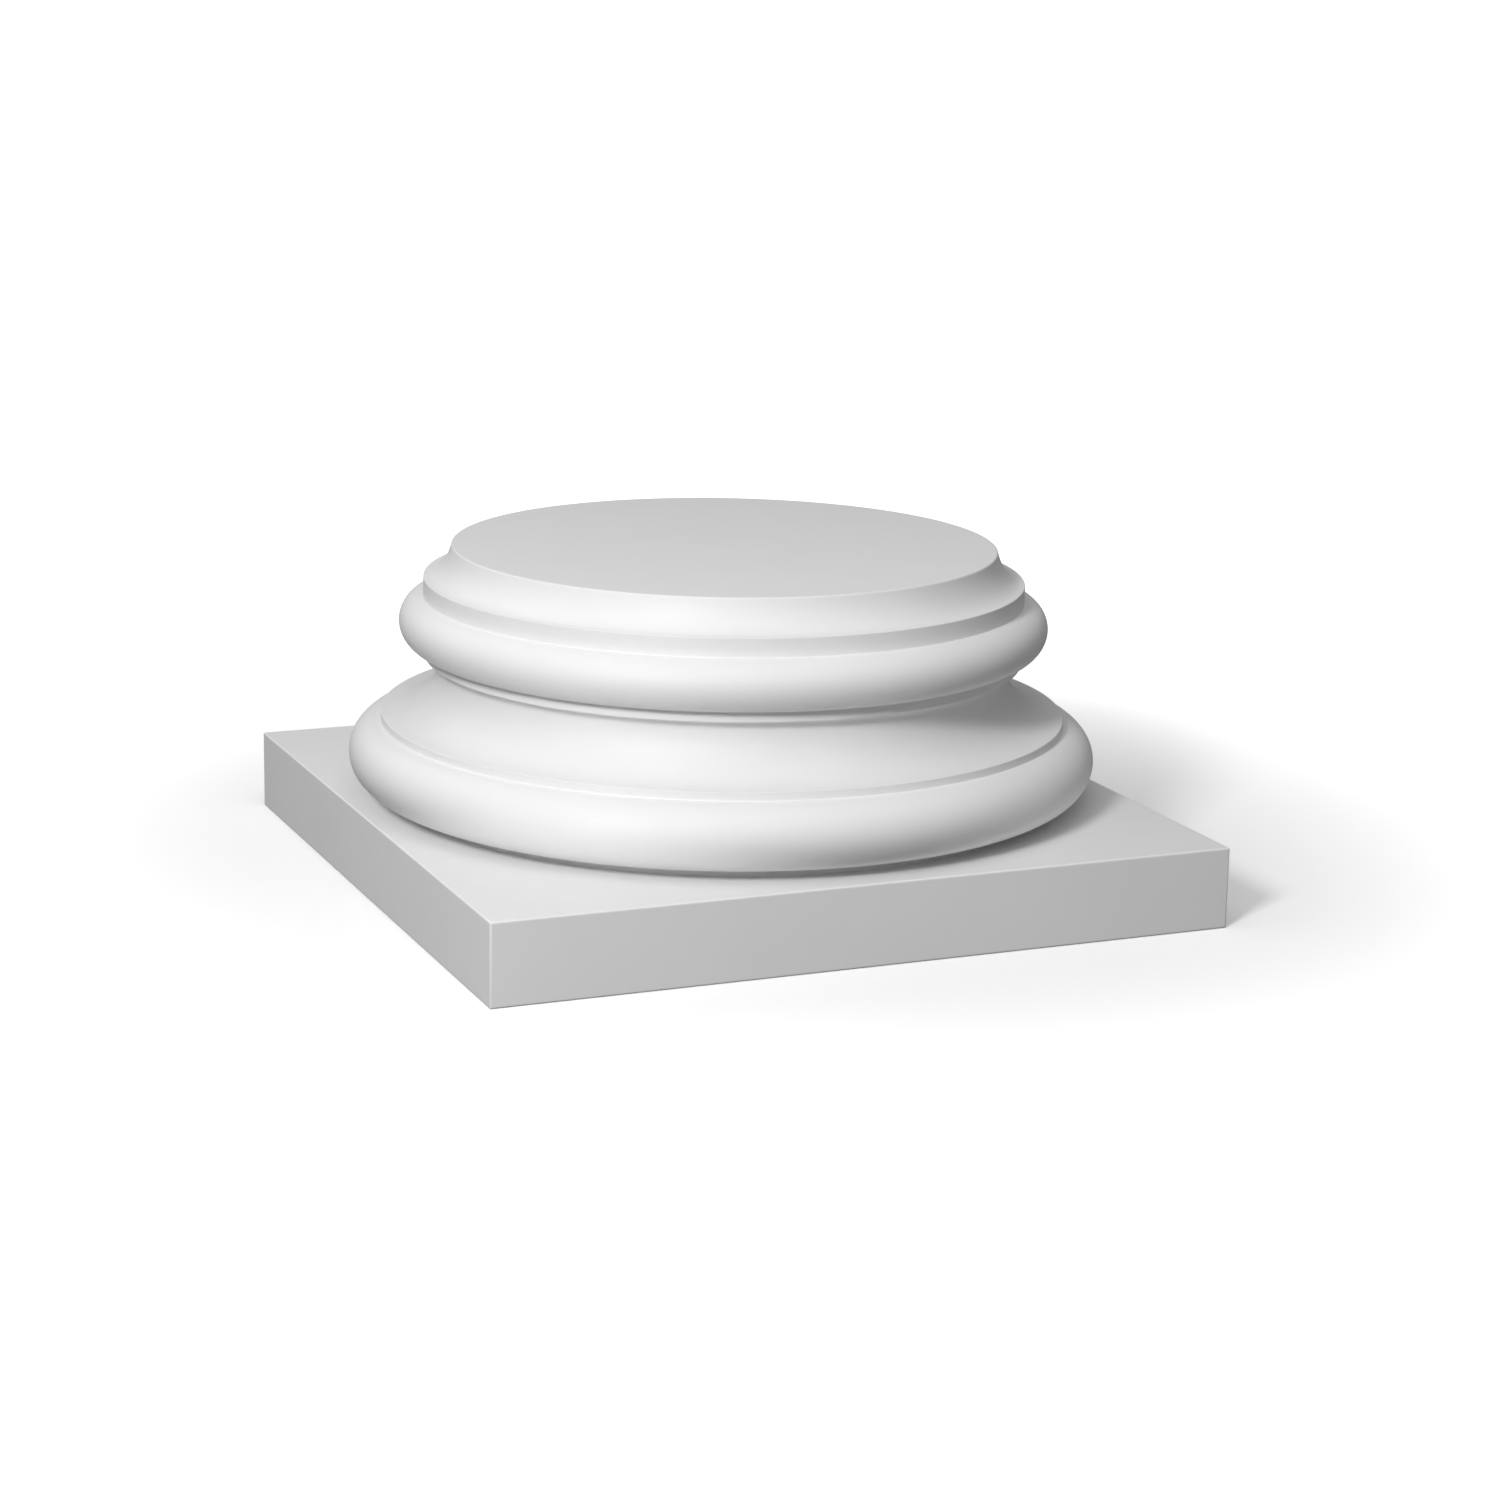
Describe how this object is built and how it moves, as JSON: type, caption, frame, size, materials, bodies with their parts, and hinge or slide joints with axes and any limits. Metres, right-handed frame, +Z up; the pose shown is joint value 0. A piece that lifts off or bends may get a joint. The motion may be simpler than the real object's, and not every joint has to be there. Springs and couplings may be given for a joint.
{
  "type": "column base",
  "caption": "White cast column base of the attic kind: square plinth, large torus, scotia, smaller torus, fillet and cavetto under a flat round seat for the shaft.",
  "frame": {"origin": "centre of the underside of the plinth", "axes": "+Z up along the axis of the column, X and Y square to the sides of the plinth"},
  "size_m": [0.385, 0.385, 0.17],
  "materials": {
    "primed_foam": "rigid polyurethane foam with a smooth skin, factory primed in matt white"
  },
  "bodies": {
    "root": {"column_base": "primed_foam"}
  },
  "joints": []
}
